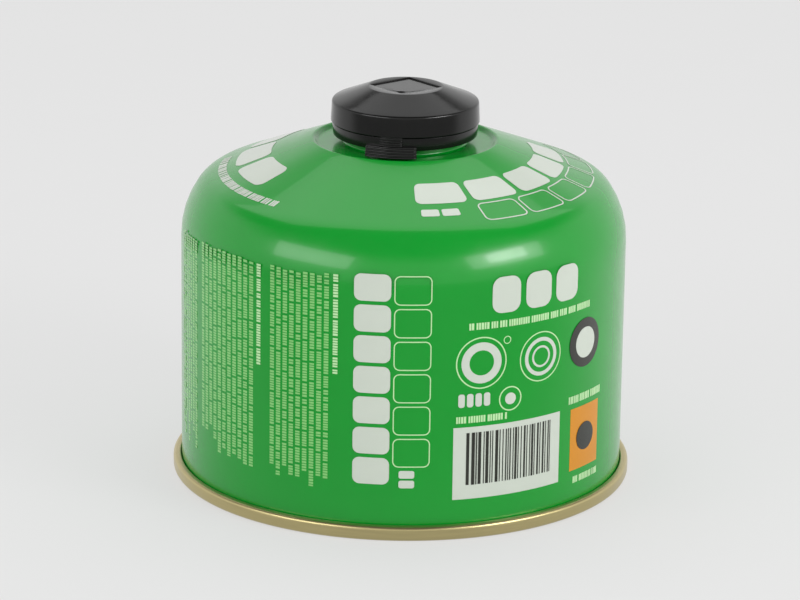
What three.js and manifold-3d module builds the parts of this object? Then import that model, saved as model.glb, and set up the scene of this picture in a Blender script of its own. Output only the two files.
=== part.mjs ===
// Screw-valve gas canister: drawn steel can, seamed bottom end, crimped valve and snap cap.
// Millimetres, +Z up. The foot of the bottom seam stands on z = 0 and the can's axis is Z.

import * as THREE from 'three';
import { mergeVertices } from 'three/addons/utils/BufferGeometryUtils.js';
import Module from 'manifold-3d';

const wasm = await Module();
wasm.setup();

// Clearance between pieces that sit on or in each other
const GAP = 0.3;

// Can body
const WALL_RADIUS = 53;
const SHOULDER_START = 58.1;
const LOWER_SHOULDER_RADIUS = 20.4;
const LOWER_SHOULDER_TURN = 35;
const UPPER_SHOULDER_RADIUS = 7.8;
const DOME_SLOPE = 20.8;
const RING_ROOM = 2.9;
const RING_DEPTH = 1;
const RING_SLOPE_WIDTH = 1.1;
const RING_FILLET = 0.9;
const MOUTH_RADIUS = 12.7;
const NECK_THICKNESS = 1.6;
const NECK_RISE = 4.2;
const NECK_FILLET = 0.6;
const BEAD_WIDTH = 2.2;
const BEAD_HEIGHT = 1.5;
const BEAD_FILLET = 0.6;
const BODY_SHEET = 0.8;

// Bottom end and its double seam
const SEAM_PROUD = 2;
const SEAM_HEIGHT = 3.5;
const SEAM_FOLD = 1;
const SEAM_FILLET = 0.7;
const END_SHEET = 0.6;
const CHUCK_HEIGHT = 6;
const DISH_RISE = 8;

// Valve cup, its stud and the crimp under the neck bead
const CUP_SHEET = 0.4;
const CUP_DEPTH = 6.5;
const CUP_FILLET = 0.8;
const CURL_FILLET = 1.2;
const CURL_REACH = 1.36;
const CRIMP_DEPTH = 0.7;
const CRIMP_HEIGHT = 2.2;
const STUD_RADIUS = 5.56;
const STUD_RISE = 1;
const STUD_BORE = 2;
const STUD_FILLET = 0.5;

// Gaskets
const CUP_GASKET_THICKNESS = 0.6;
const STEM_GASKET_THICKNESS = 1;

// Valve inside the stud
const HOUSING_CLEARANCE = 0.36;
const HOUSING_WALL = 1.4;
const HOUSING_LENGTH = 11.4;
const HOUSING_FLOOR = 1.2;
const HOUSING_INLET = 0.8;
const HOUSING_FLANGE = 1.4;
const FLANGE_OVERHANG = 1.1;
const STEM_CLEARANCE = 0.4;
const STEM_HEAD = 1.4;
const STEM_NOSE_RADIUS = 1.2;
const STEM_NOSE_RECESS = 1.1;
const STEM_GUIDE_LENGTH = 5;
const SPRING_WIRE = 0.7;
const SPRING_CLEARANCE = 0.75;
const SPRING_TURNS = 6;
const POCKET_CLEARANCE = 0.5;

// Snap cap
const CAP_PLAY = 0.6;
const CAP_WALL = 1.2;
const CAP_HEADROOM = 5;
const CAP_TOP_RADIUS = 8.9;
const CAP_TOP_FILLET = 0.6;
const CAP_CONE_DROP = 3.35;
const CAP_CREASE_FILLET = 0.7;
const CAP_FLARE = 0.25;
const CAP_STEP_RISE = 3.3;
const CAP_STEP_DEPTH = 0.35;
const CAP_FOOT_TAPER = 0.2;
const CAP_FOOT_LIFT = 1.95;
const SNAP_HEIGHT = 0.7;
const COLLAR_RADIUS = 14.2;
const COLLAR_WALL = 1;

// Recess, hole and lifting tab of the cap
const RECESS_SIDE = 12;
const RECESS_DEPTH = 0.5;
const RECESS_TURN = 40;
const VENT_RADIUS = 0.85;
const VENT_OFFSET = 6;
const VENT_AZIMUTH = -101.5;
const TAB_WIDTH = 13;
const TAB_PROUD = 1.8;
const TAB_AZIMUTH = -101;
const TAB_LIFT = 0.45;
const TAB_RIBS = 5;
const TAB_RIB_DEPTH = 0.3;

// Facets of round pieces, and the angle that one facet of a fillet may turn
const CAN_FACETS = 56;
const CUP_FACETS = 32;
const VALVE_FACETS = 24;
const SHOULDER_FACETS = 4;
const DISH_FACETS = 6;
const TAB_FACETS = 6;
const SPRING_STEPS = 12;
const WIRE_SIDES = 6;
const FILLET_STEP = 35;

const radians = THREE.MathUtils.degToRad;

// Round shapes

// Points of a shoulder arc about a centre, both ends included.
function arc(centreRadius, centreHeight, radius, from, to) {
  const points = [];
  for (let i = 0; i <= SHOULDER_FACETS; i += 1) {
    const angle = radians(from + ((to - from) * i) / SHOULDER_FACETS);
    const x = centreRadius + radius * Math.cos(angle);
    points.push(new THREE.Vector2(x, centreHeight + radius * Math.sin(angle)));
  }
  return points;
}

// Arc that rounds the corner between two straight edges, limited by their lengths.
function roundedCorner(before, corner, after, fillet) {
  const back = before.clone().sub(corner);
  const ahead = after.clone().sub(corner);
  const half = Math.acos(back.dot(ahead) / (back.length() * ahead.length())) / 2;
  const room = Math.min(back.length(), ahead.length()) * 0.49;
  const reach = Math.min(fillet / Math.tan(half), room);
  const start = corner.clone().add(back.setLength(reach));
  const end = corner.clone().add(ahead.setLength(reach));
  const bend = 180 - 2 * THREE.MathUtils.radToDeg(half);
  const curve = new THREE.QuadraticBezierCurve(start, corner, end);
  return curve.getPoints(Math.max(1, Math.ceil(bend / FILLET_STEP)));
}

// Outline through corners given as [radius, height, fillet]. A loop comes back to its first corner.
function outline(corners, isLoop = false) {
  const places = corners.map(([radius, height]) => new THREE.Vector2(radius, height));
  const count = places.length;
  const points = [];
  corners.forEach(([, , fillet], i) => {
    const isEnd = !isLoop && (i === 0 || i === count - 1);
    if (!fillet || isEnd) {
      points.push(places[i]);
      return;
    }
    const before = places[(i + count - 1) % count];
    const after = places[(i + 1) % count];
    points.push(...roundedCorner(before, places[i], after, fillet));
  });
  if (isLoop) {
    points.push(points[0].clone());
  }
  return points;
}

// Closed mesh with shared vertices and no triangle of zero width.
function closedGeometry(source) {
  const bare = source.clone();
  bare.deleteAttribute('normal');
  bare.deleteAttribute('uv');
  const merged = mergeVertices(bare, 1e-4);
  const index = merged.getIndex().array;
  const kept = [];
  for (let i = 0; i < index.length; i += 3) {
    const [a, b, c] = [index[i], index[i + 1], index[i + 2]];
    if (a !== b && b !== c && c !== a) {
      kept.push(a, b, c);
    }
  }
  merged.setIndex(kept);
  merged.computeVertexNormals();
  return merged;
}

// Solid turned about Z from an outline that runs anticlockwise, with the radius to the right.
function turned(points, facets) {
  const lathe = new THREE.LatheGeometry(points, facets);
  lathe.rotateX(Math.PI / 2);
  return closedGeometry(lathe);
}

// Ring of rectangular section.
function washer(innerRadius, outerRadius, foot, thickness, facets) {
  const corners = [
    [innerRadius, foot],
    [outerRadius, foot],
    [outerRadius, foot + thickness],
    [innerRadius, foot + thickness],
  ];
  return turned(outline(corners, true), facets);
}

// Boolean joins and cuts

function toSolid(geometry) {
  const mesh = closedGeometry(geometry);
  const vertProperties = new Float32Array(mesh.getAttribute('position').array);
  const triVerts = new Uint32Array(mesh.getIndex().array);
  return new wasm.Manifold(new wasm.Mesh({ numProp: 3, vertProperties, triVerts }));
}

function fromSolid(solid) {
  const mesh = solid.getMesh();
  const geometry = new THREE.BufferGeometry();
  geometry.setAttribute('position', new THREE.BufferAttribute(mesh.vertProperties, 3));
  geometry.setIndex(new THREE.BufferAttribute(mesh.triVerts, 1));
  geometry.computeVertexNormals();
  return geometry;
}

// Heights and radii that pieces share, worked out from the bottom of the can upwards

const seamRadius = WALL_RADIUS + SEAM_PROUD;
const chuckOuter = WALL_RADIUS - BODY_SHEET - GAP;
const chuckInner = chuckOuter - END_SHEET;
const skirtInner = WALL_RADIUS - BODY_SHEET;

// The dish of the bottom end is part of a sphere through the chuck wall's top.
const dishSphere = (chuckInner ** 2 + DISH_RISE ** 2) / (2 * DISH_RISE);

function dishHeight(radius) {
  const sag = dishSphere - Math.sqrt(dishSphere ** 2 - radius ** 2);
  return CHUCK_HEIGHT + DISH_RISE - sag;
}

// Radii of the valve's crimp, from the can's mouth outwards to the cap and its tab
const beadOuter = MOUTH_RADIUS + BEAD_WIDTH;
const curlOuter = beadOuter + GAP + CUP_SHEET;
const capInner = curlOuter + CAP_PLAY;
const capOuter = capInner + CAP_WALL;
const capFootRadius = capOuter + CAP_FLARE - CAP_STEP_DEPTH - CAP_FOOT_TAPER;
const tabRadius = capFootRadius + TAB_PROUD;
const ringRadius = tabRadius + RING_ROOM;

// Lower and upper shoulder arcs meet where the lower one has turned by its angle.
const turn = radians(LOWER_SHOULDER_TURN);
const lowerCentre = WALL_RADIUS - LOWER_SHOULDER_RADIUS;
const centreShift = LOWER_SHOULDER_RADIUS - UPPER_SHOULDER_RADIUS;
const upperCentre = lowerCentre + centreShift * Math.cos(turn);
const upperCentreHeight = SHOULDER_START + centreShift * Math.sin(turn);
const domeRadius = upperCentre + UPPER_SHOULDER_RADIUS * Math.sin(radians(DOME_SLOPE));
const domeFoot = upperCentreHeight + UPPER_SHOULDER_RADIUS * Math.cos(radians(DOME_SLOPE));
const ringEdge = domeFoot + (domeRadius - ringRadius) * Math.tan(radians(DOME_SLOPE));
const ringFloor = ringEdge - RING_DEPTH;

// Heights of the neck bead, the cup's curl and floor, and the stud
const beadTop = ringFloor + NECK_RISE;
const beadFoot = beadTop - BEAD_HEIGHT;
const cupGasketFoot = beadTop + GAP;
const curlUnderside = cupGasketFoot + CUP_GASKET_THICKNESS + GAP;
const curlTop = curlUnderside + CUP_SHEET;
const curlFoot = beadTop - CURL_REACH;
const cupFloor = curlTop - CUP_DEPTH;
const cupUnderside = cupFloor - CUP_SHEET;
const cupOuter = MOUTH_RADIUS - GAP;
const studTop = curlTop + STUD_RISE;
const studUnderside = studTop - CUP_SHEET;
const studInner = STUD_RADIUS - CUP_SHEET;

// Stack inside the stud, from the stem gasket down
const stemGasketFoot = studUnderside - GAP - STEM_GASKET_THICKNESS;
const housingOuter = studInner - HOUSING_CLEARANCE;
const housingBore = housingOuter - HOUSING_WALL;
const housingTop = stemGasketFoot - GAP;
const housingFoot = housingTop - HOUSING_LENGTH;
const housingFloor = housingFoot + HOUSING_FLOOR;
const flangeTop = cupUnderside - GAP;
const flangeRadius = STUD_RADIUS + FLANGE_OVERHANG;
const stemHeadFoot = housingTop - STEM_HEAD;
const springFoot = housingFloor + GAP;
const springTop = stemHeadFoot - GAP;
const springOuter = housingBore - SPRING_CLEARANCE;

// Cap heights
const capFoot = ringFloor + CAP_FOOT_LIFT;
const capStep = capFoot + CAP_STEP_RISE;
const capCeiling = studTop + CAP_HEADROOM;
const capTop = capCeiling + CAP_WALL + RECESS_DEPTH;
const capCrease = capTop - CAP_CONE_DROP;
const tabFoot = ringFloor + TAB_LIFT;

// Materials

function finish(color, roughness, metalness) {
  return new THREE.MeshStandardMaterial({ color, roughness, metalness });
}

const greenPrint = finish('#2a9f3c', 0.3, 0);
const goldLacquer = finish('#b5a86c', 0.35, 0.9);
const blackPlastic = finish('#2a2a29', 0.35, 0);
const tinplate = finish('#b9b8b2', 0.3, 1);
const rubber = finish('#242424', 0.8, 0);
const acetal = finish('#e6e3da', 0.5, 0);
const springSteel = finish('#a3a3a1', 0.35, 1);

// Pieces of the can

// Drawn shell with the space it seals: wall, shoulder, dome, sunk ring, neck and bead. The underside
// follows the bottom end, and a pocket from the mouth takes the valve.
function canBody() {
  const skirtFoot = SEAM_FOLD + GAP;
  const underside = [];
  for (let i = 0; i <= DISH_FACETS; i += 1) {
    const radius = (skirtInner * i) / DISH_FACETS;
    underside.push(new THREE.Vector2(radius, dishHeight(radius) + END_SHEET + GAP));
  }
  const skirt = [
    new THREE.Vector2(skirtInner, skirtFoot),
    new THREE.Vector2(WALL_RADIUS, skirtFoot),
  ];
  const lower = arc(lowerCentre, SHOULDER_START, LOWER_SHOULDER_RADIUS, 0, LOWER_SHOULDER_TURN);
  const domeTurn = 90 - DOME_SLOPE;
  const upper = arc(upperCentre, upperCentreHeight, UPPER_SHOULDER_RADIUS, LOWER_SHOULDER_TURN, domeTurn);
  const shoulder = [...lower, ...upper.slice(1)];
  const neckOuter = MOUTH_RADIUS + NECK_THICKNESS;
  const pocketRadius = MOUTH_RADIUS + CRIMP_DEPTH;
  const pocketFloor = cupUnderside - GAP - HOUSING_FLANGE - POCKET_CLEARANCE;
  const wellRadius = flangeRadius + POCKET_CLEARANCE;
  const wellFloor = housingFoot - POCKET_CLEARANCE;
  const top = outline([
    [domeRadius, domeFoot],
    [ringRadius, ringEdge, RING_FILLET],
    [ringRadius - RING_SLOPE_WIDTH, ringFloor, RING_FILLET],
    [neckOuter, ringFloor, NECK_FILLET],
    [neckOuter, beadFoot],
    [beadOuter, beadFoot, BEAD_FILLET],
    [beadOuter, beadTop, BEAD_FILLET],
    [MOUTH_RADIUS, beadTop, BEAD_FILLET],
    [MOUTH_RADIUS, beadFoot],
    [pocketRadius, beadFoot - CRIMP_DEPTH],
    [pocketRadius, cupUnderside - GAP],
    [wellRadius, cupUnderside - GAP],
    [wellRadius, pocketFloor],
    [housingOuter + POCKET_CLEARANCE, pocketFloor],
    [housingOuter + POCKET_CLEARANCE, wellFloor],
    [0, wellFloor],
  ]);
  return turned([...underside, ...skirt, ...shoulder, ...top.slice(1)], CAN_FACETS);
}

// Dished end: a channel that folds round the wall's foot, the chuck wall and the dish.
function bottomEnd() {
  const seamInner = WALL_RADIUS + GAP;
  const under = [];
  const over = [];
  for (let i = 0; i < DISH_FACETS; i += 1) {
    const underRadius = (chuckInner * i) / DISH_FACETS;
    const overRadius = (chuckOuter * i) / DISH_FACETS;
    under.push([underRadius, dishHeight(underRadius)]);
    over.unshift([overRadius, dishHeight(overRadius) + END_SHEET]);
  }
  const corners = [
    ...under,
    [chuckInner, dishHeight(chuckInner), SEAM_FILLET],
    [chuckInner, 0, SEAM_FILLET],
    [seamRadius, 0, SEAM_FILLET],
    [seamRadius, SEAM_HEIGHT, SEAM_FILLET],
    [seamInner, SEAM_HEIGHT],
    [seamInner, SEAM_FOLD],
    [chuckOuter, SEAM_FOLD],
    [chuckOuter, dishHeight(chuckOuter) + END_SHEET],
    ...over,
  ];
  return turned(outline(corners), CAN_FACETS);
}

// Pieces of the valve

// Pressed cup: curl over the neck bead, crimp below it, flat floor and the stud with its bore.
function valveCup() {
  const crimpTop = beadFoot - GAP;
  const crimpFoot = crimpTop - CRIMP_HEIGHT;
  const crimpOuter = cupOuter + CRIMP_DEPTH;
  const cupInner = cupOuter - CUP_SHEET;
  const corners = [
    [STUD_BORE, studUnderside],
    [studInner, studUnderside, STUD_FILLET],
    [studInner, cupUnderside],
    [cupOuter, cupUnderside, CUP_FILLET],
    [cupOuter, crimpFoot],
    [crimpOuter, crimpFoot + CRIMP_DEPTH],
    [crimpOuter, crimpTop - CRIMP_DEPTH],
    [cupOuter, crimpTop],
    [cupOuter, curlUnderside, CURL_FILLET - CUP_SHEET],
    [curlOuter - CUP_SHEET, curlUnderside, CURL_FILLET - CUP_SHEET],
    [curlOuter - CUP_SHEET, curlFoot],
    [curlOuter, curlFoot],
    [curlOuter, curlTop, CURL_FILLET],
    [cupInner, curlTop, CURL_FILLET],
    [cupInner, crimpTop],
    [crimpOuter - CUP_SHEET, crimpTop - CRIMP_DEPTH],
    [crimpOuter - CUP_SHEET, crimpFoot + CRIMP_DEPTH],
    [cupInner, crimpFoot],
    [cupInner, cupFloor, CUP_FILLET - CUP_SHEET],
    [STUD_RADIUS, cupFloor],
    [STUD_RADIUS, studTop, STUD_FILLET],
    [STUD_BORE, studTop],
  ];
  return turned(outline(corners, true), CUP_FACETS);
}

function cupGasket() {
  return washer(MOUTH_RADIUS + GAP, beadOuter - GAP, cupGasketFoot, CUP_GASKET_THICKNESS, CUP_FACETS);
}

function stemGasket() {
  const hole = STEM_NOSE_RADIUS + STEM_CLEARANCE;
  return washer(hole, housingOuter, stemGasketFoot, STEM_GASKET_THICKNESS, VALVE_FACETS);
}

// Tube with an inlet in its floor and a flange that bears under the cup.
function valveHousing() {
  const corners = [
    [HOUSING_INLET, housingFoot],
    [housingOuter, housingFoot],
    [housingOuter, flangeTop - HOUSING_FLANGE],
    [flangeRadius, flangeTop - HOUSING_FLANGE],
    [flangeRadius, flangeTop],
    [housingOuter, flangeTop],
    [housingOuter, housingTop],
    [housingBore, housingTop],
    [housingBore, housingFloor],
    [HOUSING_INLET, housingFloor],
  ];
  return turned(outline(corners, true), VALVE_FACETS);
}

// Stem: guide pin inside the spring, head under the gasket and a nose through it.
function valveStem() {
  const guideRadius = STEM_NOSE_RADIUS;
  const headRadius = housingBore - STEM_CLEARANCE;
  const corners = [
    [0, stemHeadFoot - STEM_GUIDE_LENGTH],
    [guideRadius, stemHeadFoot - STEM_GUIDE_LENGTH],
    [guideRadius, stemHeadFoot],
    [headRadius, stemHeadFoot],
    [headRadius, housingTop],
    [STEM_NOSE_RADIUS, housingTop],
    [STEM_NOSE_RADIUS, studTop - STEM_NOSE_RECESS],
    [0, studTop - STEM_NOSE_RECESS],
  ];
  return turned(outline(corners), VALVE_FACETS);
}

// Helix of the spring's wire, from the housing's floor to the stem's head.
class SpringCurve extends THREE.Curve {
  getPoint(t, target = new THREE.Vector3()) {
    const radius = springOuter - SPRING_WIRE / 2;
    const angle = 2 * Math.PI * SPRING_TURNS * t;
    const low = springFoot + SPRING_WIRE / 2;
    const high = springTop - SPRING_WIRE / 2;
    return target.set(radius * Math.cos(angle), radius * Math.sin(angle), low + (high - low) * t);
  }
}

function valveSpring() {
  const section = new THREE.Shape();
  for (let i = 0; i < WIRE_SIDES; i += 1) {
    const angle = (2 * Math.PI * i) / WIRE_SIDES;
    const x = (SPRING_WIRE / 2) * Math.cos(angle);
    const y = (SPRING_WIRE / 2) * Math.sin(angle);
    if (i === 0) {
      section.moveTo(x, y);
    } else {
      section.lineTo(x, y);
    }
  }
  const steps = SPRING_TURNS * SPRING_STEPS;
  const wire = new THREE.ExtrudeGeometry(section, { steps, extrudePath: new SpringCurve() });
  return closedGeometry(wire);
}

// Snap cap

// Height of the ceiling under the cone: the cone's own line, one wall lower.
function ceilingHeight(radius) {
  const slope = CAP_CONE_DROP / (capOuter - CAP_TOP_RADIUS);
  const wall = CAP_WALL * Math.hypot(1, slope);
  return Math.min(capCeiling, capTop - (radius - CAP_TOP_RADIUS) * slope - wall);
}

// Shell with a collar that stops on the cup's curl and a bead that grips below it.
function capShell() {
  const collarInner = COLLAR_RADIUS - COLLAR_WALL;
  const collarFoot = curlTop + GAP;
  const slope = CAP_CONE_DROP / (capOuter - CAP_TOP_RADIUS);
  const bendRadius = CAP_TOP_RADIUS + (capTop - CAP_WALL * Math.hypot(1, slope) - capCeiling) / slope;
  const snapRadius = curlOuter + GAP;
  const snapFoot = capFoot + GAP;
  const flaredRadius = capOuter + CAP_FLARE;
  const corners = [
    [0, capCeiling],
    [bendRadius, capCeiling],
    [collarInner, ceilingHeight(collarInner)],
    [collarInner, collarFoot],
    [COLLAR_RADIUS, collarFoot],
    [COLLAR_RADIUS, ceilingHeight(COLLAR_RADIUS)],
    [capInner, ceilingHeight(capInner)],
    [capInner, snapFoot + SNAP_HEIGHT],
    [snapRadius, snapFoot + SNAP_HEIGHT / 2],
    [capInner, snapFoot],
    [capInner, capFoot],
    [capFootRadius, capFoot, CAP_FOOT_TAPER],
    [flaredRadius - CAP_STEP_DEPTH, capStep],
    [flaredRadius, capStep],
    [capOuter, capCrease, CAP_CREASE_FILLET],
    [CAP_TOP_RADIUS, capTop, CAP_TOP_FILLET],
    [0, capTop],
  ];
  return turned(outline(corners), CAN_FACETS);
}

// Block with curved faces between two radii, centred on the tab's azimuth.
function tabBlock(innerRadius, outerRadius, foot, height) {
  const halfAngle = Math.asin(TAB_WIDTH / 2 / tabRadius);
  const middle = radians(TAB_AZIMUTH);
  const shape = new THREE.Shape();
  shape.absarc(0, 0, outerRadius, middle - halfAngle, middle + halfAngle, false);
  shape.absarc(0, 0, innerRadius, middle + halfAngle, middle - halfAngle, true);
  shape.closePath();
  const options = { depth: height, bevelEnabled: false, curveSegments: TAB_FACETS };
  const block = new THREE.ExtrudeGeometry(shape, options);
  block.translate(0, 0, foot);
  return block;
}

// Ribbed lip that widens towards its foot, from the step of the wall down past the skirt.
function liftingTab() {
  const height = capStep - tabFoot;
  const pitch = height / TAB_RIBS;
  const innerRadius = capInner + CAP_WALL / 4;
  let tab = toSolid(tabBlock(innerRadius, capFootRadius + CAP_FOOT_TAPER, tabFoot, height));
  for (let i = 0; i < TAB_RIBS; i += 1) {
    const share = (TAB_RIBS - i) / TAB_RIBS;
    const ribRadius = capOuter + (tabRadius - capOuter) * share;
    const foot = tabFoot + pitch * i;
    const groove = tabBlock(innerRadius, ribRadius - TAB_RIB_DEPTH, foot, pitch);
    const rib = tabBlock(innerRadius, ribRadius, foot, pitch / 2);
    tab = tab.add(toSolid(groove)).add(toSolid(rib));
  }
  return tab;
}

function cap() {
  const recess = new THREE.BoxGeometry(RECESS_SIDE, RECESS_SIDE, RECESS_DEPTH * 2);
  recess.rotateZ(radians(RECESS_TURN));
  recess.translate(0, 0, capTop);
  const ventLength = capTop - capCeiling + 2 * GAP;
  const vent = new THREE.CylinderGeometry(VENT_RADIUS, VENT_RADIUS, ventLength, VALVE_FACETS / 2);
  vent.rotateX(Math.PI / 2);
  const ventAngle = radians(VENT_AZIMUTH);
  const ventX = VENT_OFFSET * Math.cos(ventAngle);
  const ventY = VENT_OFFSET * Math.sin(ventAngle);
  vent.translate(ventX, ventY, (capTop + capCeiling) / 2);
  const shell = toSolid(capShell()).add(liftingTab());
  return fromSolid(shell.subtract(toSolid(recess)).subtract(toSolid(vent)));
}

// Assembly

function piece(name, geometry, material) {
  const mesh = new THREE.Mesh(geometry, material);
  mesh.name = name;
  return mesh;
}

const valve = new THREE.Group();
valve.name = 'valve';
valve.add(
  piece('valve_cup', valveCup(), tinplate),
  piece('cup_gasket', cupGasket(), rubber),
  piece('stem_gasket', stemGasket(), rubber),
  piece('valve_housing', valveHousing(), acetal),
  piece('valve_stem', valveStem(), acetal),
  piece('valve_spring', valveSpring(), springSteel),
);

const canister = new THREE.Group();
canister.name = 'gas_canister';
canister.add(
  piece('can_body', canBody(), greenPrint),
  piece('bottom_end', bottomEnd(), goldLacquer),
  valve,
  piece('cap', cap(), blackPlastic),
);

export default canister;
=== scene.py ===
"""Gas canister: printed steel can, gold-lacquered end, screw valve and snap cap.

Metres, +Z up. The can stands on z = 0 with its axis on Z, and the viewer is on -Y.
"""

import math
import random

import bmesh
import bpy
from mathutils import Matrix, Vector


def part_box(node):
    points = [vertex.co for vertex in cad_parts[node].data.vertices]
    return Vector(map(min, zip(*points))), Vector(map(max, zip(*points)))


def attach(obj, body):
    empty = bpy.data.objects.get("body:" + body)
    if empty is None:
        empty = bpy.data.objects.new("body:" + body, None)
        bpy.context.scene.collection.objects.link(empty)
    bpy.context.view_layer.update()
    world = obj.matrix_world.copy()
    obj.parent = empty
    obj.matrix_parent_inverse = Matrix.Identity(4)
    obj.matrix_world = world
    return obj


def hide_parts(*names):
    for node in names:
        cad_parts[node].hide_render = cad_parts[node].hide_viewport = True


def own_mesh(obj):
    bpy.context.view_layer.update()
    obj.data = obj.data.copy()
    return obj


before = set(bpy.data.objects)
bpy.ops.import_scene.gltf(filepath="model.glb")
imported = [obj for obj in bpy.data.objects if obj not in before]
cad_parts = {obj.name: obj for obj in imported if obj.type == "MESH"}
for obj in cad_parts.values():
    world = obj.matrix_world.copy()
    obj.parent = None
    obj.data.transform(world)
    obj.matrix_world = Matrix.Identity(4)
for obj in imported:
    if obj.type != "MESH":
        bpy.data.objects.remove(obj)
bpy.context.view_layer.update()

bl_info = {
    "name": "Gas canister",
    "version": (1, 0, 0),
    "blender": (4, 5, 0),
    "location": "3D View > Sidebar > Canister",
    "description": "Builds a gas canister with its valve and snap cap around a packed frame",
    "category": "Object",
}

MM = 0.001

# Places that the frame gives
body_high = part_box("can_body")[1]
seam_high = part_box("bottom_end")[1]
cup_low, cup_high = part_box("valve_cup")
housing_low, housing_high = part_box("valve_housing")
stem_low, stem_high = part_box("valve_stem")
spring_low, spring_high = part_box("valve_spring")
cup_gasket_low, cup_gasket_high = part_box("cup_gasket")
stem_gasket_low, stem_gasket_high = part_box("stem_gasket")
cap_low, cap_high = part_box("cap")

# Clearance between pieces, and the steps that round shapes are drawn with
GAP = 0.3 * MM
CAN_STEPS = 192
CAP_STEPS = 128
VALVE_STEPS = 64
DISH_STEPS = 24
ARC_STEP = math.radians(9)
LONGEST_FACE = 1.6 * MM


def linear(code):
    """Linear colour of an sRGB hex code."""
    parts = [int(code[i : i + 2], 16) / 255 for i in (1, 3, 5)]
    return tuple(c / 12.92 if c <= 0.04045 else ((c + 0.055) / 1.055) ** 2.4 for c in parts) + (1.0,)


def length(name, description, default):
    return bpy.props.FloatProperty(
        name=name, description=description, default=default, unit="LENGTH", precision=5
    )


def angle(name, description, degrees):
    return bpy.props.FloatProperty(
        name=name, description=description, default=math.radians(degrees), subtype="ANGLE"
    )


def number(name, description, default):
    return bpy.props.IntProperty(name=name, description=description, default=default, min=1)


def colour(name, description, code):
    return bpy.props.FloatVectorProperty(
        name=name, description=description, default=linear(code), size=4, min=0, max=1, subtype="COLOR"
    )


class CanSizes(bpy.types.PropertyGroup):
    """Sizes of the drawn can and its seamed end"""

    wall_radius: length("Wall radius", "Outside of the straight wall", body_high.x)
    shoulder_start: length("Shoulder start", "Height where the wall starts to turn in", 58.1 * MM)
    lower_shoulder: length("Lower shoulder", "Radius of the shoulder's lower arc", 20.4 * MM)
    lower_turn: angle("Lower turn", "Angle that the lower arc turns by", 35)
    upper_shoulder: length("Upper shoulder", "Radius of the shoulder's upper arc", 7.8 * MM)
    dome_slope: angle("Dome slope", "Slope of the cone above the shoulder", 20.8)
    ring_depth: length("Ring depth", "Depth of the sunk ring round the neck", 1.0 * MM)
    neck_rise: length("Neck rise", "Height of the neck bead above the sunk ring", 4.2 * MM)
    mouth_radius: length("Mouth radius", "Inside of the neck", 12.7 * MM)
    sheet: length("Sheet", "Thickness of the skirt at the seam", 0.8 * MM)
    seam_radius: length("Seam radius", "Outside of the double seam", seam_high.x)
    seam_height: length("Seam height", "Height of the double seam", 3.5 * MM)
    chuck_height: length("Chuck height", "Height of the chuck wall inside the seam", 6.0 * MM)
    dish_rise: length("Dish rise", "Rise of the end's middle above the chuck wall", 8.0 * MM)
    end_sheet: length("End sheet", "Thickness of the bottom end", 0.6 * MM)


class ValveSizes(bpy.types.PropertyGroup):
    """Sizes of the valve under the cap"""

    cup_sheet: length("Cup sheet", "Thickness of the cup's sheet", 0.4 * MM)
    cup_depth: length("Cup depth", "Depth of the cup below its curl", 6.5 * MM)
    stud_radius: length("Stud radius", "Outside of the stud's thread", 5.56 * MM)
    stud_rise: length("Stud rise", "Height of the stud above the curl", 1.0 * MM)
    stud_bore: length("Stud bore", "Radius of the hole for a stove's pin", 2.0 * MM)
    thread_pitch: length("Thread pitch", "Rise of one turn, 28 to the inch", 0.907 * MM)
    thread_depth: length("Thread depth", "Height of the thread's ridge", 0.52 * MM)
    spring_turns: number("Spring turns", "Turns of the coil spring", 6)


class CapSizes(bpy.types.PropertyGroup):
    """Sizes of the snap cap"""

    wall: length("Wall", "Thickness of the moulding", 1.2 * MM)
    inner_radius: length("Inner radius", "Inside of the skirt", 16.2 * MM)
    top_radius: length("Top radius", "Radius of the flat top", 8.9 * MM)
    cone_drop: length("Cone drop", "Height of the cone between top and crease", 3.35 * MM)
    step_rise: length("Step rise", "Height of the step above the skirt's foot", 3.3 * MM)
    recess_side: length("Recess side", "Side of the square recess", 12 * MM)
    recess_depth: length("Recess depth", "Depth of the square recess", 0.3 * MM)
    recess_turn: angle("Recess turn", "Turn of the square recess about the axis", 40)
    vent_radius: length("Vent radius", "Radius of the hole in the recess", 0.85 * MM)
    vent_offset: length("Vent offset", "Distance of the hole from the axis", 5.3 * MM)
    tab_width: length("Tab width", "Width of the lifting tab", 13 * MM)
    tab_height: length("Tab height", "Height of the lifting tab", 2.6 * MM)
    tab_azimuth: angle("Tab azimuth", "Direction of the tab, from +X", -101)
    tab_ribs: number("Tab ribs", "Ribs across the tab and above it", 4)


class Colours(bpy.types.PropertyGroup):
    """Colours of enamel, inks, lacquer and plastics"""

    enamel: colour("Enamel", "Green ground of the can", "#009829")
    white_ink: colour("White ink", "Bold blocks and rings", "#CDD5C9")
    line_ink: colour("Line ink", "Outlines and pale strokes", "#BFE8AE")
    fine_ink: colour("Fine ink", "Columns of fine strokes", "#86CC76")
    orange_ink: colour("Orange ink", "Square panel", "#D68B00")
    dark_ink: colour("Dark ink", "Badge and bars", "#2B2D26")
    gold: colour("Gold lacquer", "Lacquer on the bottom end", "#D0C28B")
    plastic: colour("Black plastic", "Snap cap", "#0F0F0E")
    paper: colour("Paper", "Floor and surroundings", "#E6E6E6")


# Sections and the shapes that are turned from them


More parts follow.
